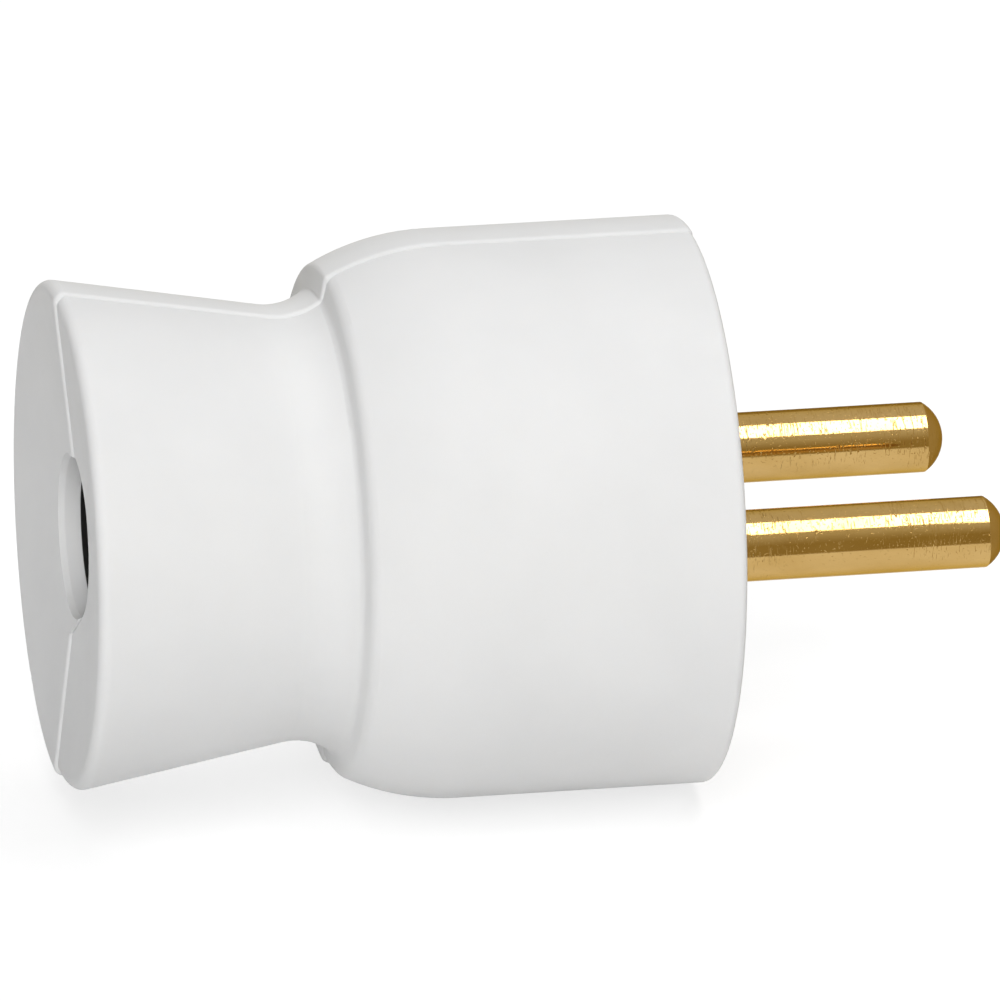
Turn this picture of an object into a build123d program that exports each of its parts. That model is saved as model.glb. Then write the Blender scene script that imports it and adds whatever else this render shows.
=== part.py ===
from build123d import *
import os
from math import cos, radians, sin, sqrt, tan

# Grounded 16 A plug, two round pins and a female earth contact, rewirable, straight cord outlet.
# +X runs along the pins, out of the plug; the origin is the centre of the engagement face.
# The pins lie on the Y axis, the earth socket lies below them, and the half shells part at Y = 0.
# Millimetres.

# Contact layout
pin_diameter = 4.8
pin_length = 19.4
pin_spacing = 19.0
earth_offset = 10.0
earth_bore_diameter = 4.9
earth_bore_depth = 14.0

# Housing outside, from the engagement face back
body_diameter = 38.4
cover_proud = 0.19
face_edge_radius = 0.5
shoulder_curve = 16.7
cover_shoulder_radius = 0.45
clamp_shoulder_radius = 1.1
body_tail_gap = 0.55
step_height = 1.6
step_lean = 0.32
cover_root_radius = 0.2
clamp_root_radius = 0.8
throat_diameter = 29.4
throat_behind_step = 2.7
throat_curve = 4.45
neck_length = 18.05
neck_taper = 9.9
rim_edge_radius = 0.7
dish_angle = 6.35
cable_hole_diameter = 10.9
cable_hole_flare = 0.13
cable_hole_lead = 0.44
cable_hole_land = 1.05

# Housing inside and parting line
wall = 2.0
seam_edge_radius = 0.35
tongue_thickness = 0.8
tongue_height = 1.0
tongue_gap = 0.1
lip_length = 1.45
lip_angle = 28.0
lip_gap = 0.05

# Contact carrier and its seat in the shells
face_diameter = 30.0
face_gap = 0.15
face_chamfer = 0.3
front_lip = 2.5
flange_thickness = 3.0
flange_gap = 0.1
rib_thickness = 1.2
rib_height = 1.5
key_width = 2.0
key_height = 1.4
tower_wall = 1.3
tower_gap = 0.4
tower_overhang = 0.6
web_thickness = 2.4
web_length = 7.0
earth_mouth_wall = 1.5
earth_mouth_diameter = 5.8
earth_mouth_chamfer = 0.6
contact_gap = 0.1

# Pins, earth socket and terminals
pin_dome = 1.35
pin_tip_radius = 0.2
pin_root_diameter = 5.4
root_gap = 0.05
terminal_diameter = 7.2
terminal_length = 9.5
earth_terminal_length = 6.6
terminal_chamfer = 0.4
wire_hole_diameter = 3.2
wire_hole_depth = 6.0
earth_tube_diameter = 6.4
earth_slit = 0.8
earth_slit_length = 9.5
spring_from_mouth = 3.5
spring_width = 2.0
spring_thickness = 0.45
spring_groove_depth = 0.15
spring_gap = 0.03
spring_opening = 60.0

# Screws: plain cores, with a slot across each head
screw_slot_width = 0.8
screw_slot_depth = 0.9
thread_gap = 0.05
terminal_screw_diameter = 3.1
terminal_screw_head = 5.4
terminal_screw_head_height = 1.8
terminal_screw_reach = 0.4
terminal_screw_lift = 0.3
screw_access_gap = 0.3
cover_screw_diameter = 3.0
cover_screw_head = 6.0
cover_screw_head_height = 2.2
cover_hole_gap = 0.2
cover_head_gap = 0.4
post_wall = 1.7
seat_wall = 1.4
seat_thickness = 1.6
pilot_spare = 1.0
cover_head_sink = 1.0
front_screw_from_face = 13.0
front_screw_above_terminals = 0.7
front_screw_grip = 8.0
rear_screw_from_rim = 6.8
rear_screw_below_axis = 8.8
rear_screw_grip = 6.0

# Cord clamp
clamp_behind_step = 3.1
clamp_screw_diameter = 2.6
clamp_screw_head = 5.0
clamp_screw_head_height = 1.8
clamp_head_gap = 0.15
clamp_shell_gap = 0.26
clamp_screw_grip = 6.0
clamp_post_wall = 1.4
clamp_post_top = 2.5
clamp_bar_width = 6.0
clamp_bar_thickness = 2.2
saddle_thickness = 2.4

# Derived places
body_radius = body_diameter / 2
throat_radius = throat_diameter / 2
throat_centre = throat_radius + throat_curve
cable_hole_radius = cable_hole_diameter / 2
face_radius = face_diameter / 2
cavity_radius = body_radius - wall
flange_back = -(front_lip + flange_thickness)
terminal_radius = terminal_diameter / 2
tower_radius = terminal_radius + contact_gap + tower_wall
terminal_screw_under = terminal_radius + terminal_screw_lift
terminal_back = flange_back - terminal_length
pin_tower_back = terminal_back - tower_overhang
pin_screw_x = terminal_back + wire_hole_depth / 2
earth_mouth = -earth_mouth_wall
earth_front = earth_mouth - contact_gap
earth_terminal_front = earth_front - earth_bore_depth
earth_terminal_back = earth_terminal_front - earth_terminal_length
earth_tower_back = earth_terminal_back - tower_overhang
earth_screw_x = earth_terminal_back + wire_hole_depth / 2
step_from_face = wall + body_tail_gap - earth_tower_back
throat_from_face = step_from_face + throat_behind_step
housing_length = step_from_face + neck_length


# Straight round and square stock along one axis
def rod_x(radius, start, end, y=0, z=0):
    return Pos((start + end) / 2, y, z) * Rot(0, 90, 0) * Cylinder(radius, abs(end - start))


def rod_y(radius, start, end, x=0, z=0):
    return Pos(x, (start + end) / 2, z) * Rot(90, 0, 0) * Cylinder(radius, abs(end - start))


def rod_z(radius, start, end, x=0, y=0):
    return Pos(x, y, (start + end) / 2) * Cylinder(radius, abs(end - start))


def block(low, high):
    size = [b - a for a, b in zip(low, high)]
    middle = [(a + b) / 2 for a, b in zip(low, high)]
    return Pos(*middle) * Box(*size)


def turned(*outline):
    """Solid of revolution about X from an outline of (x, radius) points."""
    return revolve(make_face(Polyline(*outline, close=True)), Axis.X)


# Housing outline: body, shoulder, step, throat, tapered neck and dished end, inset by a wall
taper = tan(radians(neck_taper))
dish = tan(radians(dish_angle))
step_root = throat_centre - sqrt(throat_curve ** 2 - (throat_from_face - step_from_face) ** 2)
shoulder_drop = body_radius - step_root - step_height
shoulder_x = step_lean - step_from_face + sqrt(shoulder_curve ** 2 - (shoulder_curve - shoulder_drop) ** 2)
rim_radius = (throat_centre - throat_curve * cos(radians(neck_taper))
              + (housing_length - throat_from_face - throat_curve * sin(radians(neck_taper))) * taper)


def dish_x(radius, inset=0):
    """Place of the dished end, or of its inner face, at a radius."""
    return -housing_length + (rim_radius - radius) * dish + inset / cos(radians(dish_angle))


def housing_section(inset, front, step_radii=None):
    """Half section inside an inset; its corners are rounded where the step's two radii are given."""
    step_x = inset - step_from_face
    step_top = step_x + step_lean
    shoulder_run = max(shoulder_x - step_top, 0)
    shoulder_rise = sqrt((shoulder_curve - inset) ** 2 - shoulder_run ** 2)
    shoulder_start = (step_top + shoulder_run, body_radius - inset)
    shoulder_end = (step_top, body_radius - shoulder_curve + shoulder_rise)
    throat_rise = sqrt((throat_curve + inset) ** 2 - (step_x + throat_from_face) ** 2)
    step_foot = (step_x, throat_centre - throat_rise)
    taper_start = (-throat_from_face - (throat_curve + inset) * sin(radians(neck_taper)),
                   throat_centre - (throat_curve + inset) * cos(radians(neck_taper)))
    taper_reach = taper_start[1] + taper_start[0] * taper
    rim_x = (dish_x(0, inset) - dish * taper_reach) / (1 - dish * taper)
    rim = (rim_x, taper_reach - rim_x * taper)
    face_edge = (front, body_radius - inset)
    outline = [
        Line((front, 0), face_edge),
        Line(face_edge, shoulder_start),
        Line(shoulder_end, step_foot),
        TangentArc(taper_start, step_foot, tangent=(1, -taper)),
        Line(taper_start, rim),
        Line(rim, (dish_x(0, inset), 0)),
        Line((dish_x(0, inset), 0), (front, 0)),
    ]
    # A shallow shoulder runs out before it reaches the step's inner face
    if shoulder_run > 0:
        outline.append(TangentArc(shoulder_start, shoulder_end, tangent=(-1, 0)))
    section = make_face(outline)
    if step_radii:
        shoulder_edge_radius, root_radius = step_radii
        corners = ((face_edge, face_edge_radius), (shoulder_end, shoulder_edge_radius),
                   (step_foot, root_radius), (rim, rim_edge_radius))
        for corner, radius in corners:
            section = fillet(section.vertices().sort_by_distance(corner)[0], radius)
    return section


cavity = revolve(housing_section(wall, -front_lip), Axis.X)
mid_wall = revolve(housing_section(wall / 2, -front_lip / 2), Axis.X)

# Openings: the face that shows the carrier, and the cable hole in the dished end
opening_radius = face_radius + face_gap
face_opening = make_face(Polyline((-front_lip, 0), (-front_lip, opening_radius),
                                  (0, opening_radius), (0, 0), close=True))
mouth_radius = cable_hole_radius + cable_hole_flare
land_end = dish_x(mouth_radius) + cable_hole_lead + cable_hole_land
hole_end = dish_x(0, wall) + wall


def cable_hole(inset):
    """Half section of the cable hole: lead-in, land, and a bevel that opens to the inside."""
    mouth_x = dish_x(mouth_radius, inset)
    return make_face(Polyline((mouth_x - cable_hole_lead, 0),
                              (mouth_x - cable_hole_lead, mouth_radius + cable_hole_flare),
                              (mouth_x + cable_hole_lead, cable_hole_radius),
                              (land_end, cable_hole_radius),
                              (hole_end, cable_hole_radius + hole_end - land_end),
                              (hole_end, 0), close=True))


def half_section(inset, *step_radii):
    """Half section of one half shell, open at the face and at the cable hole."""
    return housing_section(inset, 0, step_radii) - face_opening - cable_hole(inset)


# The cover half stands proud of the clamp half all along the seam
clamp_section = half_section(cover_proud, clamp_shoulder_radius, clamp_root_radius)
cover_section = half_section(0, cover_shoulder_radius, cover_root_radius)

# Parting: flat at Y = 0, with a short lip of the cover half under the cable hole
span = housing_length + body_diameter
near_side = block((-span, -span, -span), (span, 0, span))
far_side = block((-span, 0, -span), (span, span, span))


def outside_edges(half):
    """Edges of the parting face that lie on the housing's outer surface."""
    edges = []
    for edge in half.edges().filter_by_position(Axis.Y, -lip_gap, lip_gap):
        middle = edge @ 0.5
        inner_limit = opening_radius if middle.X > -front_lip - face_gap else mouth_radius
        if abs(middle.Z) > inner_limit + face_gap:
            edges.append(edge)
    return edges


def hole_lip(gap):
    """Wedge from the hole's edge down to the seam, through the end wall, grown all round by a gap."""
    tip = (-mouth_radius * sin(radians(lip_angle)), -mouth_radius * cos(radians(lip_angle)))
    foot = -cable_hole_radius - lip_length
    wedge = make_face(Polyline((0, 0), tip, (0, foot), (seam_edge_radius, foot), (seam_edge_radius, 0),
                               close=True))
    if gap:
        wedge = offset(wedge, gap, kind=Kind.INTERSECTION)
    end_plane = Plane((-housing_length, 0, 0), x_dir=(0, 1, 0), z_dir=(1, 0, 0))
    return extrude(end_plane * wedge, housing_length + hole_end)


near_blank = revolve(Rot(90, 0, 0) * clamp_section, Axis.X, 180) - hole_lip(lip_gap)
far_blank = revolve(Rot(-90, 0, 0) * cover_section, Axis.X, 180)
far_blank = fillet(outside_edges(far_blank), seam_edge_radius)
far_blank += revolve(cover_section, Axis.X) & hole_lip(0)

# Contact places: (y, z, end of the carrier's tower)
half_spacing = pin_spacing / 2
contact_places = ((half_spacing, 0, pin_tower_back), (-half_spacing, 0, pin_tower_back),
                  (0, -earth_offset, earth_tower_back))

# Rib that traps the carrier's flange, broken where the terminal towers pass
rib_front = flange_back - flange_gap
retaining_rib = (rod_x(body_radius - wall / 2, rib_front - rib_thickness, rib_front)
                 - rod_x(cavity_radius - rib_height, rib_front - rib_thickness, rib_front))
for place_y, place_z, tower_back in contact_places:
    retaining_rib -= rod_x(tower_radius + tower_gap, tower_back, 0, place_y, place_z)
key = block((rib_front - rib_thickness, -key_width, cavity_radius - key_height),
            (-front_lip, 0, body_radius - wall / 2))


def tongue(gap):
    """Locating tongue along the inner half of the wall, from the rib back to the dished end."""
    layer = revolve(housing_section(wall - tongue_thickness - gap, -front_lip), Axis.X) - cavity
    rear_end = dish_x(cable_hole_radius, wall) + wall - gap
    front_end = rib_front - rib_thickness + gap
    return layer & block((rear_end, -gap, -span), (front_end, tongue_height + gap, span))


# Cover screws: one over the pins' terminals, one in the neck, with their heads sunk in the far half
cover_screw_radius = cover_screw_diameter / 2
post_radius = cover_screw_radius + post_wall
head_bore_radius = cover_screw_head / 2 + cover_head_gap
boss_radius = head_bore_radius + seat_wall
terminal_top = terminal_screw_under + terminal_screw_head_height
front_screw_z = terminal_top + front_screw_above_terminals + boss_radius
neck_radius = rim_radius - rear_screw_from_rim * taper


def head_seat(outer_radius, screw_z):
    """Depth along Y at which a cover screw's head is sunk below a round outside."""
    head_edge = abs(screw_z) + cover_screw_head / 2
    return sqrt(outer_radius ** 2 - head_edge ** 2) - cover_screw_head_height - cover_head_sink


# (x, z, seat of the head, reach into the near post)
cover_screw_places = {
    "front_cover_screw": (-front_screw_from_face, front_screw_z,
                          head_seat(body_radius, front_screw_z), front_screw_grip),
    "rear_cover_screw": (rear_screw_from_rim - housing_length, -rear_screw_below_axis,
                         head_seat(neck_radius, rear_screw_below_axis), rear_screw_grip),
}

# Cord clamp: behind the step, its screws' heads close inside the throat and the arch between them
clamp_screw_radius = clamp_screw_diameter / 2
clamp_post_radius = clamp_screw_radius + clamp_post_wall
clamp_x = -step_from_face - clamp_behind_step
bar_top = clamp_post_top + clamp_bar_thickness
head_top = bar_top + clamp_screw_head_height
head_reach = throat_radius - wall - clamp_shell_gap
clamp_screw_offset = sqrt(head_reach ** 2 - head_top ** 2) - clamp_screw_head / 2
arch_half_width = clamp_screw_offset - clamp_head_gap - clamp_screw_head / 2
clamp_arch_radius = sqrt(arch_half_width ** 2 + bar_top ** 2) - clamp_bar_thickness

# Near half shell: carries the cord saddle, the clamp posts and the cover screws' blind posts
clamp_half_shell = near_blank - cavity + (retaining_rib & near_side) + key + tongue(0)
saddle_back = clamp_x - saddle_thickness / 2
saddle_front = clamp_x + saddle_thickness / 2
saddle = block((saddle_back, -body_radius, -clamp_screw_offset), (saddle_front, 0, clamp_screw_offset))
clamp_half_shell += (saddle & mid_wall) - rod_x(clamp_arch_radius, saddle_back, saddle_front)
for side in (1, -1):
    clamp_post = rod_y(clamp_post_radius, -body_radius, clamp_post_top, clamp_x, side * clamp_screw_offset)
    clamp_half_shell += clamp_post & mid_wall
for screw_x, screw_z, seat, grip in cover_screw_places.values():
    clamp_half_shell += rod_y(post_radius, -body_radius, 0, screw_x, screw_z) & mid_wall
for side in (1, -1):
    pilot_end = clamp_post_top - clamp_screw_grip - pilot_spare
    clamp_half_shell -= rod_y(clamp_screw_radius + thread_gap, pilot_end, clamp_post_top,
                              clamp_x, side * clamp_screw_offset)
for screw_x, screw_z, seat, grip in cover_screw_places.values():
    clamp_half_shell -= rod_y(cover_screw_radius + thread_gap, -grip - pilot_spare, tongue_height,
                              screw_x, screw_z)

# Far half shell: takes the cover screws' heads in counterbores
cover_half_shell = far_blank - cavity + (retaining_rib & far_side)
for screw_x, screw_z, seat, grip in cover_screw_places.values():
    sleeve = rod_y(post_radius, 0, seat, screw_x, screw_z)
    head_boss = rod_y(boss_radius, seat - seat_thickness, body_radius, screw_x, screw_z)
    cover_half_shell += (sleeve + head_boss) & mid_wall
    cover_half_shell -= rod_y(head_bore_radius, seat, body_radius, screw_x, screw_z)
    cover_half_shell -= rod_y(cover_screw_radius + cover_hole_gap, 0, seat, screw_x, screw_z)
cover_half_shell -= tongue(tongue_gap)

# Contact carrier: face disc, trapped flange, three terminal towers and the webs between them
carrier_key_notch = block((flange_back, -key_width - flange_gap, cavity_radius - key_height - flange_gap),
                          (-front_lip, flange_gap, body_radius))
contact_carrier = turned((flange_back, 0), (flange_back, cavity_radius - flange_gap),
                         (-front_lip, cavity_radius - flange_gap), (-front_lip, face_radius),
                         (-face_chamfer, face_radius), (0, face_radius - face_chamfer), (0, 0))
contact_carrier -= carrier_key_notch
for place_y, place_z, tower_back in contact_places:
    contact_carrier += rod_x(tower_radius, tower_back, flange_back, place_y, place_z)
web_back = flange_back - web_length
half_web = web_thickness / 2
contact_carrier += block((web_back, -half_spacing, -half_web), (flange_back, half_spacing, half_web))
contact_carrier += block((web_back, -half_web, -earth_offset), (flange_back, half_web, 0))
for place_y, place_z, tower_back in contact_places[:2]:
    contact_carrier -= rod_x(terminal_radius + contact_gap, tower_back, flange_back, place_y, place_z)
    contact_carrier -= rod_x(pin_root_diameter / 2 + root_gap, flange_back, 0, place_y, place_z)
contact_carrier -= rod_x(terminal_radius + contact_gap, earth_tower_back, earth_mouth, 0, -earth_offset)
earth_mouth_radius = earth_mouth_diameter / 2
contact_carrier -= Pos(0, 0, -earth_offset) * turned(
    (earth_mouth, 0), (earth_mouth, earth_mouth_radius), (-earth_mouth_chamfer, earth_mouth_radius),
    (0, earth_mouth_radius + earth_mouth_chamfer), (0, 0))
access_radius = terminal_screw_head / 2 + screw_access_gap
access_reach = tower_radius + contact_gap
screw_places = (pin_screw_x, pin_screw_x, earth_screw_x)
for (place_y, place_z, tower_back), screw_x in zip(contact_places, screw_places):
    contact_carrier -= rod_z(access_radius, place_z, place_z + access_reach, screw_x, place_y)

# Pins: domed tip, bare shank, root in the carrier's hole, and a tubular terminal behind the flange
pin_radius = pin_diameter / 2
pin_root_radius = pin_root_diameter / 2
tip_edge = (pin_length - pin_dome, pin_radius)
shank = Polyline((pin_length, 0), (terminal_back, 0), (terminal_back, terminal_radius - terminal_chamfer),
                 (terminal_back + terminal_chamfer, terminal_radius), (flange_back, terminal_radius),
                 (flange_back, pin_root_radius), (0, pin_root_radius), (0, pin_radius), tip_edge)
dome = TangentArc((pin_length, 0), tip_edge, tangent=(0, 1))
pin_section = make_face([shank, dome])
pin_section = fillet(pin_section.vertices().sort_by_distance(tip_edge)[0], pin_tip_radius)
tapped_radius = terminal_screw_diameter / 2 + thread_gap
wire_hole_radius = wire_hole_diameter / 2
pin = revolve(pin_section, Axis.X)
pin -= rod_x(wire_hole_radius, terminal_back, terminal_back + wire_hole_depth)
pin -= rod_z(tapped_radius, 0, terminal_radius, pin_screw_x)
line_pin = Pos(0, half_spacing, 0) * pin
neutral_pin = Pos(0, -half_spacing, 0) * pin

# Earth socket: slit tube with a groove for its spring, and the same terminal behind it
earth_tube_radius = earth_tube_diameter / 2
groove_radius = earth_tube_radius - spring_groove_depth
spring_front = earth_mouth - spring_from_mouth
spring_back = spring_front - spring_width
earth_socket = turned(
    (earth_front, 0), (earth_front, earth_tube_radius), (spring_front + spring_gap, earth_tube_radius),
    (spring_front + spring_gap, groove_radius), (spring_back - spring_gap, groove_radius),
    (spring_back - spring_gap, earth_tube_radius), (earth_terminal_front, earth_tube_radius),
    (earth_terminal_front, terminal_radius), (earth_terminal_back + terminal_chamfer, terminal_radius),
    (earth_terminal_back, terminal_radius - terminal_chamfer), (earth_terminal_back, 0))
earth_socket -= rod_x(earth_bore_diameter / 2, earth_terminal_front, earth_front)
earth_socket -= rod_x(wire_hole_radius, earth_terminal_back, earth_terminal_back + wire_hole_depth)
earth_socket -= block((earth_front - earth_slit_length, -earth_slit / 2, -terminal_radius),
                      (earth_front, earth_slit / 2, terminal_radius))
earth_socket -= rod_z(tapped_radius, 0, terminal_radius, earth_screw_x)
earth_socket = Pos(0, 0, -earth_offset) * earth_socket
spring_inner = groove_radius + spring_gap
spring_outer = spring_inner + spring_thickness
spring_strip = make_face(Polyline((spring_back, spring_inner), (spring_back, spring_outer),
                                  (spring_front, spring_outer), (spring_front, spring_inner), close=True))
earth_socket_spring = Pos(0, 0, -earth_offset) * Rot(spring_opening / 2, 0, 0) * revolve(
    spring_strip, Axis.X, 360 - spring_opening)


def slotted_screw(diameter, length, head_diameter, head_height):
    """Cheese-head screw, head up along Z, with the underside of its head at the origin."""
    screw = rod_z(diameter / 2, -length, 0) + rod_z(head_diameter / 2, 0, head_height)
    slot = block((-head_diameter, -screw_slot_width / 2, head_height - screw_slot_depth),
                 (head_diameter, screw_slot_width / 2, head_height))
    return screw - slot


# Terminal screws: all three heads up, in the towers' access holes
terminal_screw = slotted_screw(terminal_screw_diameter, terminal_screw_under - terminal_screw_reach,
                               terminal_screw_head, terminal_screw_head_height)
line_terminal_screw = Pos(pin_screw_x, half_spacing, terminal_screw_under) * terminal_screw
neutral_terminal_screw = Pos(pin_screw_x, -half_spacing, terminal_screw_under) * terminal_screw
earth_terminal_screw = Pos(earth_screw_x, 0, terminal_screw_under - earth_offset) * terminal_screw

# Cord clamp bar: arched across the two posts, with its screws' heads and the cover screws' to the far side
head_to_far = Rot(-90, 0, 0)
clamp_ear = clamp_screw_offset + clamp_post_radius
bar_back = clamp_x - clamp_bar_width / 2
bar_front = clamp_x + clamp_bar_width / 2
arch = rod_x(clamp_arch_radius + clamp_bar_thickness, bar_back, bar_front)
cord_clamp_bar = block((bar_back, clamp_post_top, -clamp_ear), (bar_front, bar_top, clamp_ear))
cord_clamp_bar += arch & block((-span, clamp_post_top, -span), (span, span, span))
cord_clamp_bar -= rod_x(clamp_arch_radius, bar_back, bar_front)
for side in (1, -1):
    cord_clamp_bar -= rod_y(clamp_screw_radius + cover_hole_gap, clamp_post_top, bar_top,
                            clamp_x, side * clamp_screw_offset)
clamp_screw = head_to_far * slotted_screw(clamp_screw_diameter, clamp_bar_thickness + clamp_screw_grip,
                                          clamp_screw_head, clamp_screw_head_height)

pieces = {
    "clamp_half_shell": clamp_half_shell,
    "cover_half_shell": cover_half_shell,
    "contact_carrier": contact_carrier,
    "line_pin": line_pin,
    "neutral_pin": neutral_pin,
    "line_terminal_screw": line_terminal_screw,
    "neutral_terminal_screw": neutral_terminal_screw,
    "earth_socket": earth_socket,
    "earth_socket_spring": earth_socket_spring,
    "earth_terminal_screw": earth_terminal_screw,
    "cord_clamp_bar": cord_clamp_bar,
    "upper_clamp_screw": Pos(clamp_x, bar_top, clamp_screw_offset) * clamp_screw,
    "lower_clamp_screw": Pos(clamp_x, bar_top, -clamp_screw_offset) * clamp_screw,
}
for name, (screw_x, screw_z, seat, grip) in cover_screw_places.items():
    pieces[name] = Pos(screw_x, seat, screw_z) * head_to_far * slotted_screw(
        cover_screw_diameter, seat + grip, cover_screw_head, cover_screw_head_height)

os.makedirs("parts", exist_ok=True)
for name, piece in pieces.items():
    export_step(piece, f"parts/{name}.step")
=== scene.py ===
import bpy
from math import cos, pi, radians, sin
from mathutils import Matrix, Vector


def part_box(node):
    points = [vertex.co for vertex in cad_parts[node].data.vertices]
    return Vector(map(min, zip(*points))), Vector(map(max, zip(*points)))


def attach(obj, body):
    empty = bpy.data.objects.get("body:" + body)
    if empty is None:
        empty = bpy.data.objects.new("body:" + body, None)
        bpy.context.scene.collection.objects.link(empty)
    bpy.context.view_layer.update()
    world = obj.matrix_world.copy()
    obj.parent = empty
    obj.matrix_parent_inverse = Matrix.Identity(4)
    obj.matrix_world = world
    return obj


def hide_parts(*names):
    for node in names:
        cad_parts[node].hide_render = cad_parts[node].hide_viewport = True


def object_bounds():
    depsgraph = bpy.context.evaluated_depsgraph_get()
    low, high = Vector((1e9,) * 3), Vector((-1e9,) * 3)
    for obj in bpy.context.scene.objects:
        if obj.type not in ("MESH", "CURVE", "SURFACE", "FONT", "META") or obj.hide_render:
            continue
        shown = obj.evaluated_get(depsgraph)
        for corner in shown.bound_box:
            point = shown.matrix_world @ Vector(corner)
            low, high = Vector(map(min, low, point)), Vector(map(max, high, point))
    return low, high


# A grounded 16 A plug: two round brass pins, a recessed earth socket and a flared white split housing.
# Metres, in the part's own frame: +X along the pins, +Z up, the half shells parting at Y = 0.
bpy.context.scene.view_settings.view_transform = "Standard"
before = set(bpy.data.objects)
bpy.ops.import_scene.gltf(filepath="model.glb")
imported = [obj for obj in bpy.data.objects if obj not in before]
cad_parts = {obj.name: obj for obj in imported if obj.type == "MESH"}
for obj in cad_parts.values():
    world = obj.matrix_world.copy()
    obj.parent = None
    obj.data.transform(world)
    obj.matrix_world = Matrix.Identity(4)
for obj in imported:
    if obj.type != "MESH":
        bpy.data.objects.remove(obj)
cad_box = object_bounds()
mm = 0.001


# Housing: two half shells, lined up by a tongue in a groove and drawn together by two screws.
# Each is injection moulded in white thermoplastic, from a mould with a fine satin spark finish.
# The inner walls, of which only the cable hole shows a little, are painted dark: painted shade for the
# hollow behind the hole, where little light reaches.
housing_white = (0.815, 0.815, 0.812)
housing_shade = (0.785, 0.786, 0.784)
# Painted shade: the dark colour given to the inner walls behind the cable hole.
inner_painted_shade = (0.035, 0.035, 0.033)
end_wall_reach = 2.7 * mm
end_wall_blend = 0.05 * mm
inner_reach = 11 * mm
inner_blend = 1 * mm
plastic_ior = 1.5
skin_scatter = 0.12
scatter_tint = (1.0, 0.9, 0.8)
scatter_reach = 0.6 * mm


def add_node(tree, kind, inputs=None, **settings):
    """New node of a kind. Each input is a value, or the output of a node before it."""
    made = tree.nodes.new(kind)
    for name, value in settings.items():
        setattr(made, name, value)
    for name, value in (inputs or {}).items():
        if isinstance(value, bpy.types.NodeSocket):
            tree.links.new(value, made.inputs[name])
        else:
            made.inputs[name].default_value = value
    return made


def maths(tree, operation, *values):
    """Result of one sum on numbers or on the outputs of nodes before it."""
    return add_node(tree, "ShaderNodeMath", dict(enumerate(values)), operation=operation).outputs["Value"]


def new_material(name):
    """Plain node material: its tree, its shader and the place of a point on the piece."""
    material = bpy.data.materials.new(name)
    material.use_nodes = True
    tree = material.node_tree
    shader = tree.nodes["Principled BSDF"]
    place = tree.nodes.new("ShaderNodeTexCoord").outputs["Object"]
    return material, tree, shader, place


def patches(tree, place, size, detail, stretch=(1, 1, 1)):
    """Soft random patches about one size across, drawn out along the axes by stretch."""
    scale = [1 / (size * longer) for longer in stretch]
    spot = add_node(tree, "ShaderNodeMapping", {"Vector": place, "Scale": scale}).outputs["Vector"]
    noise = add_node(tree, "ShaderNodeTexNoise", {"Vector": spot, "Scale": 1.0, "Detail": detail})
    return noise.outputs["Fac"]


def spread(tree, value, low, high, to_low=0.0, to_high=1.0):
    """The part of a pattern between low and high, spread over a new range."""
    limits = {"Value": value, "From Min": low, "From Max": high, "To Min": to_low, "To Max": to_high}
    return add_node(tree, "ShaderNodeMapRange", limits).outputs["Result"]


def tone(tree, share, first, second):
    """Colour that goes from the first to the second with a pattern."""
    ramp = add_node(tree, "ShaderNodeValToRGB", {"Fac": share})
    start, end = ramp.color_ramp.elements
    start.color = (*first, 1)
    end.color = (*second, 1)
    return ramp.outputs["Color"]


def relief(tree, height, depth, strength, under=None):
    """Bump of a depth in metres, laid over another bump. A depth below 0 goes into the surface."""
    inputs = {"Height": height, "Distance": depth, "Strength": strength}
    if under:
        inputs["Normal"] = under
    return add_node(tree, "ShaderNodeBump", inputs).outputs["Normal"]


def painted_shade_mask(tree, place):
    """Where shade is painted: 1 behind the cable hole's end wall and well within the shells, 0 on all that
    is seen from outside.
    """
    across = add_node(tree, "ShaderNodeVectorMath", {0: place, 1: (0, 1, 1)}, operation="MULTIPLY")
    radius = add_node(tree, "ShaderNodeVectorMath", {0: across.outputs["Vector"]}, operation="LENGTH")
    within = spread(tree, radius.outputs["Value"], low=inner_reach, high=inner_reach + inner_blend,
                    to_low=1, to_high=0)
    along = add_node(tree, "ShaderNodeSeparateXYZ", {"Vector": place}).outputs["X"]
    end_wall = cad_box[0][0] + end_wall_reach
    behind = spread(tree, along, low=end_wall, high=end_wall + end_wall_blend)
    return maths(tree, "MULTIPLY", behind, within)


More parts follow.
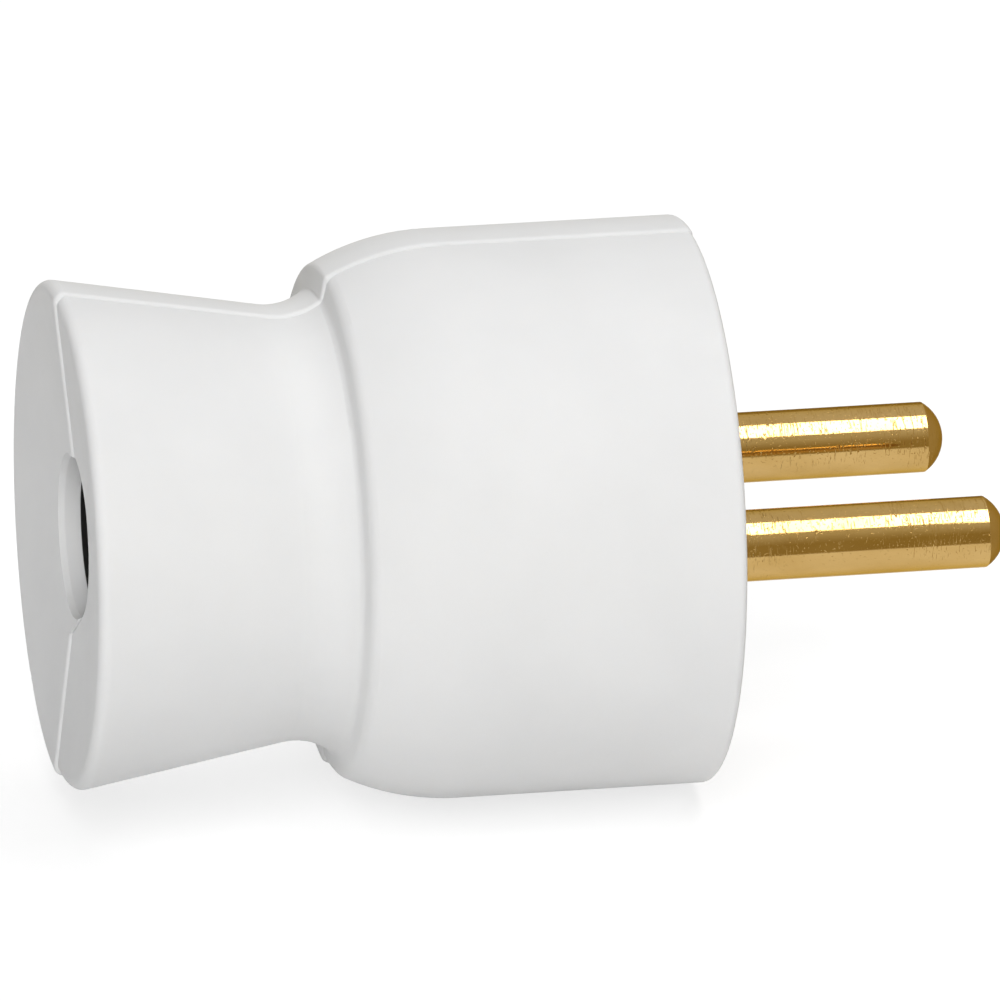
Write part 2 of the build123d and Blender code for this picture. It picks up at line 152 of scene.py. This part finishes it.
def moulded_plastic(name, light, shade, gloss, grain, grain_depth, painted_inner_shade=None):
    """Moulded plastic: cloudy tone, spark-finish grain, slow waves of shrinkage under a satin skin, and,
    when given, painted shade on the inner walls.
    """
    material, tree, shader, place = new_material(name)
    cloud = patches(tree, place, size=9 * mm, detail=3.0)
    colour = tone(tree, spread(tree, cloud, low=0.3, high=0.7), shade, light)
    # Painted shade: the inner walls behind the cable hole take a dark colour in place of the shade that
    # falls there.
    if painted_inner_shade:
        colour = add_node(tree, "ShaderNodeMixRGB", {"Fac": painted_shade_mask(tree, place), "Color1": colour,
                                                     "Color2": (*painted_inner_shade, 1)}).outputs["Color"]
    tree.links.new(colour, shader.inputs["Base Color"])
    rubbed = patches(tree, place, size=2.5 * mm, detail=4.0)
    satin = spread(tree, rubbed, low=0.3, high=0.7, to_low=gloss - 0.05, to_high=gloss + 0.06)
    tree.links.new(satin, shader.inputs["Roughness"])
    waves = patches(tree, place, size=6 * mm, detail=1.0)
    shrunk = relief(tree, waves, depth=0.03 * mm, strength=0.35)
    grains = patches(tree, place, size=grain, detail=2.0)
    spark = relief(tree, grains, depth=grain_depth, strength=0.5, under=shrunk)
    tree.links.new(spark, shader.inputs["Normal"])
    shader.inputs["IOR"].default_value = plastic_ior
    shader.inputs["Subsurface Weight"].default_value = skin_scatter
    shader.inputs["Subsurface Radius"].default_value = scatter_tint
    shader.inputs["Subsurface Scale"].default_value = scatter_reach
    return material


def finish_node(node, material):
    """The CAD piece keeps its shape and takes this material."""
    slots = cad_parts[node].data.materials
    slots.clear()
    slots.append(material)


housing_plastic = moulded_plastic("housing_plastic", housing_white, housing_shade, gloss=0.6,
                                  grain=0.16 * mm, grain_depth=0.008 * mm, painted_inner_shade=inner_painted_shade)
finish_node("clamp_half_shell", housing_plastic)
finish_node("cover_half_shell", housing_plastic)


# Contact carrier: the block that the half shells trap behind the face, with three terminal towers.
# It is compression moulded in a heat-proof white plastic, a little greyer than the housing.
carrier_white = (0.74, 0.74, 0.725)
carrier_shade = (0.70, 0.70, 0.68)
carrier_plastic = moulded_plastic("carrier_plastic", carrier_white, carrier_shade, gloss=0.55,
                                  grain=0.3 * mm, grain_depth=0.015 * mm)
finish_node("contact_carrier", carrier_plastic)


# Pins: line and neutral, each turned in one piece from drawn brass bar and pressed into the carrier.
# The bar's drawn lines run along them, and sockets and handling have left short scores and pits.
brass_light = (0.57, 0.376, 0.14)
brass_deep = (0.505, 0.32, 0.104)
brass_edge = (0.72, 0.58, 0.34)


def turned_brass(name, light, deep, edge, gloss):
    """Brass bar turned about X: drawn lines, short scores round it, small pits and a patchy bright skin."""
    material, tree, shader, place = new_material(name)
    shader.inputs["Metallic"].default_value = 1.0
    shader.inputs["Specular Tint"].default_value = (*edge, 1)
    stain = patches(tree, place, size=2.0 * mm, detail=5.0, stretch=(2.5, 1, 1))
    colour = tone(tree, spread(tree, stain, low=0.35, high=0.7), light, deep)
    tree.links.new(colour, shader.inputs["Base Color"])
    skin = spread(tree, stain, low=0.3, high=0.75, to_low=gloss - 0.02, to_high=gloss + 0.04)
    tree.links.new(skin, shader.inputs["Roughness"])
    drawn = patches(tree, place, size=0.09 * mm, detail=3.0, stretch=(70, 1, 1))
    worn = spread(tree, patches(tree, place, size=2.6 * mm, detail=2.0), low=0.41, high=0.53)
    marks = patches(tree, place, size=0.13 * mm, detail=1.0, stretch=(1, 7, 7))
    scores = maths(tree, "MULTIPLY", spread(tree, marks, low=0.575, high=0.68), worn)
    pits = spread(tree, patches(tree, place, size=0.17 * mm, detail=1.0), low=0.66, high=0.74)
    lined = relief(tree, drawn, depth=0.004 * mm, strength=0.4)
    scored = relief(tree, scores, depth=-0.025 * mm, strength=0.6, under=lined)
    pitted = relief(tree, pits, depth=-0.02 * mm, strength=0.6, under=scored)
    tree.links.new(pitted, shader.inputs["Normal"])
    return material


pin_brass = turned_brass("pin_brass", brass_light, brass_deep, brass_edge, gloss=0.09)
finish_node("line_pin", pin_brass)
finish_node("neutral_pin", pin_brass)


# Earth socket: a slit brass tube that grips the wall socket's earth pin, with its own wire terminal.
# A split ring of rolled spring steel in a groove presses the tube's fingers together.
socket_light = (0.80, 0.54, 0.22)
socket_deep = (0.64, 0.41, 0.14)
socket_brass = turned_brass("socket_brass", socket_light, socket_deep, brass_edge, gloss=0.28)
finish_node("earth_socket", socket_brass)


def worked_steel(name, light, deep, gloss, stretch):
    """Bright steel with the fine lines of its working, drawn out along the axes by stretch."""
    material, tree, shader, place = new_material(name)
    shader.inputs["Metallic"].default_value = 1.0
    worked = patches(tree, place, size=0.1 * mm, detail=3.0, stretch=stretch)
    bloom = patches(tree, place, size=1.5 * mm, detail=4.0)
    colour = tone(tree, spread(tree, bloom, low=0.3, high=0.7), light, deep)
    tree.links.new(colour, shader.inputs["Base Color"])
    skin = spread(tree, worked, low=0.3, high=0.7, to_low=gloss - 0.06, to_high=gloss + 0.08)
    tree.links.new(skin, shader.inputs["Roughness"])
    tree.links.new(relief(tree, worked, depth=0.005 * mm, strength=0.3), shader.inputs["Normal"])
    return material


spring_grey = (0.50, 0.50, 0.51)
spring_dark = (0.40, 0.40, 0.41)
spring_steel = worked_steel("spring_steel", spring_grey, spring_dark, gloss=0.3, stretch=(1, 8, 8))
finish_node("earth_socket_spring", spring_steel)


# Cord clamp: a small moulded bridge that two screws draw down on the cord's sheath.
# It comes from the same kind of press as the carrier, in an off-white of its own.
clamp_white = (0.72, 0.72, 0.70)
clamp_shade = (0.67, 0.67, 0.65)
clamp_plastic = moulded_plastic("clamp_plastic", clamp_white, clamp_shade, gloss=0.5,
                                grain=0.22 * mm, grain_depth=0.012 * mm)
finish_node("cord_clamp_bar", clamp_plastic)


# Screws: seven slotted cheese-heads of zinc-plated steel, rolled threads under turned heads.
# Three hold the wires, two the clamp and two, with a coarse thread for plastic, the half shells.
zinc_light = (0.72, 0.73, 0.74)
zinc_deep = (0.60, 0.61, 0.63)
screw_zinc = worked_steel("screw_zinc", zinc_light, zinc_deep, gloss=0.26, stretch=(6, 6, 6))
slot_width = 0.8 * mm
slot_depth = 0.9 * mm
thread_sides = 40
rows_per_turn = 10
head_sides = 64
runout_share = 0.125
point_share = 0.07
seam_gap = 0.001 * mm


def screw_tree():
    """Geometry nodes that cut one threaded, slotted screw, head up, and set it on each point."""
    tree = bpy.data.node_groups.new("slotted_screw", "GeometryNodeTree")
    sockets = tree.interface
    sockets.new_socket("Seats", in_out="INPUT", socket_type="NodeSocketGeometry")
    for name in ("Diameter", "Length", "Pitch", "Thread depth", "Head diameter", "Head height",
                 "Slot width", "Slot depth"):
        sockets.new_socket(name, in_out="INPUT", socket_type="NodeSocketFloat")
    sockets.new_socket("Turn", in_out="INPUT", socket_type="NodeSocketRotation")
    sockets.new_socket("Rows", in_out="INPUT", socket_type="NodeSocketInt")
    sockets.new_socket("Metal", in_out="INPUT", socket_type="NodeSocketMaterial")
    sockets.new_socket("Screws", in_out="OUTPUT", socket_type="NodeSocketGeometry")
    given = tree.nodes.new("NodeGroupInput").outputs

    # Shank: a sheet rolled to a tube, its radius falling and rising once a turn, closed at the tip
    sheet = add_node(tree, "GeometryNodeMeshGrid", {"Size X": 1.0, "Size Y": 1.0,
                                                    "Vertices X": thread_sides + 1,
                                                    "Vertices Y": given["Rows"]})
    spot = tree.nodes.new("GeometryNodeInputPosition").outputs["Position"]
    corner = add_node(tree, "ShaderNodeSeparateXYZ", {"Vector": spot})
    turn = maths(tree, "ADD", corner.outputs["X"], 0.5)
    down = maths(tree, "ADD", corner.outputs["Y"], 0.5)
    reach = maths(tree, "MULTIPLY", down, given["Length"])
    winding = maths(tree, "ADD", maths(tree, "DIVIDE", reach, given["Pitch"]), turn)
    wave = maths(tree, "MULTIPLY", maths(tree, "PINGPONG", winding, 0.5), 2.0)
    runout = maths(tree, "MINIMUM", maths(tree, "DIVIDE", down, runout_share), 1.0)
    cut = maths(tree, "MULTIPLY", maths(tree, "MULTIPLY", wave, given["Thread depth"]), runout)
    left = maths(tree, "SUBTRACT", 1.0, down)
    point = maths(tree, "MINIMUM", maths(tree, "DIVIDE", left, point_share), 1.0)
    crest = maths(tree, "DIVIDE", given["Diameter"], 2.0)
    radius = maths(tree, "MULTIPLY", maths(tree, "SUBTRACT", crest, cut), point)
    angle = maths(tree, "MULTIPLY", turn, -2 * pi)
    rolled = add_node(tree, "ShaderNodeCombineXYZ",
                      {"X": maths(tree, "MULTIPLY", radius, maths(tree, "COSINE", angle)),
                       "Y": maths(tree, "MULTIPLY", radius, maths(tree, "SINE", angle)),
                       "Z": maths(tree, "MULTIPLY", reach, -1.0)})
    tube = add_node(tree, "GeometryNodeSetPosition", {"Geometry": sheet.outputs["Mesh"],
                                                      "Position": rolled.outputs["Vector"]})
    shank = add_node(tree, "GeometryNodeMergeByDistance", {"Geometry": tube.outputs["Geometry"],
                                                           "Distance": seam_gap})

    # Head: a disc with the screwdriver's slot milled across it
    head_radius = maths(tree, "DIVIDE", given["Head diameter"], 2.0)
    blank = add_node(tree, "GeometryNodeMeshCylinder", {"Vertices": head_sides, "Radius": head_radius,
                                                        "Depth": given["Head height"]})
    lift = add_node(tree, "ShaderNodeCombineXYZ", {"Z": maths(tree, "DIVIDE", given["Head height"], 2.0)})
    disc = add_node(tree, "GeometryNodeTransform", {"Geometry": blank.outputs["Mesh"],
                                                    "Translation": lift.outputs["Vector"]})
    cutter_size = add_node(tree, "ShaderNodeCombineXYZ",
                           {"X": maths(tree, "MULTIPLY", given["Head diameter"], 2.0),
                            "Y": given["Slot width"],
                            "Z": maths(tree, "MULTIPLY", given["Slot depth"], 2.0)})
    bar = add_node(tree, "GeometryNodeMeshCube", {"Size": cutter_size.outputs["Vector"]})
    top = add_node(tree, "ShaderNodeCombineXYZ", {"Z": given["Head height"]})
    cutter = add_node(tree, "GeometryNodeTransform", {"Geometry": bar.outputs["Mesh"],
                                                      "Translation": top.outputs["Vector"]})
    head = add_node(tree, "GeometryNodeMeshBoolean", {"Mesh 1": disc.outputs["Geometry"],
                                                      "Mesh 2": cutter.outputs["Geometry"]},
                    operation="DIFFERENCE")

    screw = tree.nodes.new("GeometryNodeJoinGeometry")
    tree.links.new(shank.outputs["Geometry"], screw.inputs["Geometry"])
    tree.links.new(head.outputs["Mesh"], screw.inputs["Geometry"])
    placed = add_node(tree, "GeometryNodeInstanceOnPoints", {"Points": given["Seats"],
                                                             "Rotation": given["Turn"],
                                                             "Instance": screw.outputs["Geometry"]})
    solid = add_node(tree, "GeometryNodeRealizeInstances", {"Geometry": placed.outputs["Instances"]})
    plated = add_node(tree, "GeometryNodeSetMaterial", {"Geometry": solid.outputs["Geometry"],
                                                        "Material": given["Metal"]})
    add_node(tree, "NodeGroupOutput", {"Screws": plated.outputs["Geometry"]})
    return tree


slotted_screw = screw_tree()
y_axis, z_axis = 1, 2
head_turns = {y_axis: (radians(-90), 0, 0), z_axis: (0, 0, 0)}


def fit_screws(name, nodes, head_axis, diameter, pitch, thread_depth, head_height):
    """Threaded screws in place of like CAD screws, sized and seated by the CAD screws' boxes."""
    seats = []
    for node in nodes:
        low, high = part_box(node)
        seat = (low + high) / 2
        seat[head_axis] = high[head_axis] - head_height
        seats.append(seat)
    low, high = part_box(nodes[0])
    length = high[head_axis] - low[head_axis] - head_height
    sizes = {"Diameter": diameter, "Length": length, "Pitch": pitch, "Thread depth": thread_depth,
             "Head diameter": high.x - low.x, "Head height": head_height,
             "Slot width": slot_width, "Slot depth": slot_depth, "Turn": head_turns[head_axis],
             "Rows": int(rows_per_turn * length / pitch), "Metal": screw_zinc}
    mesh = bpy.data.meshes.new(name)
    mesh.from_pydata(seats, [], [])
    screws = bpy.data.objects.new(name, mesh)
    bpy.context.collection.objects.link(screws)
    modifier = screws.modifiers.new("cut", "NODES")
    modifier.node_group = slotted_screw
    for socket in slotted_screw.interface.items_tree:
        if socket.name in sizes:
            modifier[socket.identifier] = sizes[socket.name]
    shaped = screws.evaluated_get(bpy.context.evaluated_depsgraph_get())
    cut_mesh = bpy.data.meshes.new_from_object(shaped)
    screws.modifiers.remove(modifier)
    screws.data = cut_mesh
    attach(screws, "root")
    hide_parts(*nodes)


terminal_screws = ["line_terminal_screw", "neutral_terminal_screw", "earth_terminal_screw"]
fit_screws("terminal_screws_threaded", terminal_screws, head_axis=z_axis,
           diameter=3.1 * mm, pitch=0.5 * mm, thread_depth=0.28 * mm, head_height=1.8 * mm)
fit_screws("clamp_screws_threaded", ["upper_clamp_screw", "lower_clamp_screw"], head_axis=y_axis,
           diameter=2.6 * mm, pitch=0.9 * mm, thread_depth=0.36 * mm, head_height=1.8 * mm)
for cover_screw in ("front_cover_screw", "rear_cover_screw"):
    fit_screws(cover_screw + "_threaded", [cover_screw], head_axis=y_axis,
               diameter=3.0 * mm, pitch=1.1 * mm, thread_depth=0.42 * mm, head_height=2.2 * mm)


# Floor: a pale sheet that the plug lies on, so wide that it is all the camera sees.
# To the eye and in bright metal it is white, less the plug's own shadow.
floor_pale = (0.88, 0.88, 0.88)
floor_shown = (0.4, 0.4, 0.4)
floor_glow = 0.72
floor_side = 6.0


def bare_material(name):
    """Node material with nothing in it yet, and its tree."""
    material = bpy.data.materials.new(name)
    material.use_nodes = True
    material.node_tree.nodes.clear()
    return material, material.node_tree


def seen_rays(tree):
    """1 for rays that look at a thing, straight, in gloss or through glass, 0 for rays that light it."""
    ray = tree.nodes.new("ShaderNodeLightPath").outputs
    direct = maths(tree, "MAXIMUM", ray["Is Camera Ray"], ray["Is Glossy Ray"])
    return maths(tree, "MAXIMUM", direct, ray["Is Transmission Ray"])


def flat_sheet(name, width, height, material, level=0.0):
    """Flat sheet about the origin, at a level, that belongs to the studio and not to the plug."""
    mesh = bpy.data.meshes.new(name)
    corners = [(x * width / 2, y * height / 2, level) for x, y in ((-1, -1), (1, -1), (1, 1), (-1, 1))]
    mesh.from_pydata(corners, [], [(0, 1, 2, 3)])
    mesh.materials.append(material)
    sheet = bpy.data.objects.new(name, mesh)
    bpy.context.collection.objects.link(sheet)
    return sheet


floor_paper, floor_tree = bare_material("floor_paper")
lit = add_node(floor_tree, "ShaderNodeBsdfDiffuse", {"Color": (*floor_pale, 1)})
shaded = add_node(floor_tree, "ShaderNodeBsdfDiffuse", {"Color": (*floor_shown, 1)})
glow = add_node(floor_tree, "ShaderNodeEmission", {"Strength": floor_glow})
white = add_node(floor_tree, "ShaderNodeAddShader", {0: shaded.outputs["BSDF"], 1: glow.outputs["Emission"]})
either = add_node(floor_tree, "ShaderNodeMixShader", {0: seen_rays(floor_tree), 1: lit.outputs["BSDF"],
                                                      2: white.outputs["Shader"]})
add_node(floor_tree, "ShaderNodeOutputMaterial", {"Surface": either.outputs["Shader"]})
flat_sheet("floor", floor_side, floor_side, floor_paper, level=cad_box[0][2])


# Studio: a tall window at the front left, a narrow soft box high over the pins and a lamp behind.
# Brown cards, seen only in gloss, give the pins their dark bands and shade their tips.
room_pale = (0.8, 0.8, 0.8)
room_light = 0.11
room_shown = 1.0
studio = bpy.data.worlds.new("studio")
bpy.context.scene.world = studio
studio.use_nodes = True
room = studio.node_tree
room.nodes.clear()
room_strength = spread(room, seen_rays(room), low=0, high=1, to_low=room_light, to_high=room_shown)
walls = add_node(room, "ShaderNodeBackground", {"Color": (*room_pale, 1), "Strength": room_strength})
add_node(room, "ShaderNodeOutputWorld", {"Surface": walls.outputs["Background"]})
plug_middle = (Vector(cad_box[0]) + Vector(cad_box[1])) / 2


def towards(azimuth, elevation):
    """Direction from the plug, azimuth from straight in front round to the right."""
    return Vector((sin(radians(azimuth)) * cos(radians(elevation)),
                   -cos(radians(azimuth)) * cos(radians(elevation)), sin(radians(elevation))))


def facing(direction, distance):
    """Placement at a distance from the plug's middle, turned to look back at it."""
    turn = direction.to_track_quat("Z", "Y").to_matrix().to_4x4()
    return Matrix.Translation(plug_middle + direction * distance) @ turn


def soft_light(name, azimuth, elevation, distance, width, height, power, in_metal, aside=0.0):
    """Lamp behind a white sheet, turned to the plug and then moved aside along the pins."""
    lamp = bpy.data.lights.new(name, "AREA")
    lamp.shape = "RECTANGLE"
    lamp.size = width
    lamp.size_y = height
    lamp.energy = power
    holder = bpy.data.objects.new(name, lamp)
    bpy.context.collection.objects.link(holder)
    holder.matrix_world = facing(towards(azimuth, elevation), distance)
    holder.matrix_world.translation.x += aside
    holder.visible_glossy = in_metal
    holder.visible_camera = False


soft_light("window", azimuth=-18, elevation=33, distance=1.2,
           width=0.4, height=1.2, power=9.9, in_metal=False)
soft_light("soft_box", azimuth=0, elevation=72, distance=0.8,
           width=0.12, height=0.65, power=1.9, in_metal=True, aside=0.178)
soft_light("back_lamp", azimuth=160, elevation=53, distance=1.2,
           width=0.8, height=0.8, power=5.3, in_metal=False)

band_brown = (0.425, 0.344, 0.163)
tip_brown = (0.54, 0.46, 0.275)
card_pale = (0.70, 0.675, 0.60)
brown_up_to = 16 * mm
pale_from = 52 * mm


def dark_card(name, azimuth, distance, width, height, brown):
    """Upright card that faces the plug's middle and grows paler above it, seen in gloss alone."""
    look, tree = bare_material(name)
    place = tree.nodes.new("ShaderNodeTexCoord").outputs["Object"]
    rise = add_node(tree, "ShaderNodeSeparateXYZ", {"Vector": place}).outputs["Y"]
    shade = tone(tree, spread(tree, rise, low=brown_up_to, high=pale_from), brown, card_pale)
    paint = add_node(tree, "ShaderNodeEmission", {"Color": shade})
    add_node(tree, "ShaderNodeOutputMaterial", {"Surface": paint.outputs["Emission"]})
    card = flat_sheet(name, width, height, look)
    card.matrix_world = facing(towards(azimuth, 0), distance)
    card.visible_camera = False
    card.visible_diffuse = False
    card.visible_shadow = False
    card.visible_transmission = False


dark_card("front_card", azimuth=0, distance=0.07, width=0.1, height=0.17, brown=band_brown)
dark_card("back_card", azimuth=180, distance=0.07, width=0.1, height=0.064, brown=band_brown)
dark_card("tip_card", azimuth=90, distance=0.042, width=0.08, height=0.07, brown=tip_brown)


# Camera: a long lens from the front left, a little above, as the plug is seen across a table.
# The picture's centre is given to the right of and above the frame's origin, as the camera sees it.
camera_azimuth = -11.96
camera_elevation = 19.93
camera_roll = 0.467
camera_distance = 1.044
lens_length = 559.6
film_width = 36.0
nearest_seen = 0.01
farthest_seen = 20.0
picture_centre = (-12.774 * mm, -0.203 * mm)
camera = bpy.data.objects.new("camera", bpy.data.cameras.new("camera"))
bpy.context.collection.objects.link(camera)
camera.data.sensor_width = film_width
camera.data.lens = lens_length
camera.data.clip_start = nearest_seen
camera.data.clip_end = farthest_seen
stand = towards(camera_azimuth, camera_elevation) * camera_distance
level = Vector((cos(radians(camera_azimuth)), sin(radians(camera_azimuth)), 0))
upright = stand.normalized().cross(level)
aim = level * picture_centre[0] + upright * picture_centre[1]
back = (stand - aim).normalized()
right = Vector((0, 0, 1)).cross(back).normalized()
above = back.cross(right)
roll_cos = cos(radians(camera_roll))
roll_sin = sin(radians(camera_roll))
rolled_right = right * roll_cos + above * roll_sin
rolled_above = above * roll_cos - right * roll_sin
camera_axes = Matrix((rolled_right, rolled_above, back)).transposed()
camera.matrix_world = Matrix.Translation(stand) @ camera_axes.to_4x4()
bpy.context.scene.camera = camera
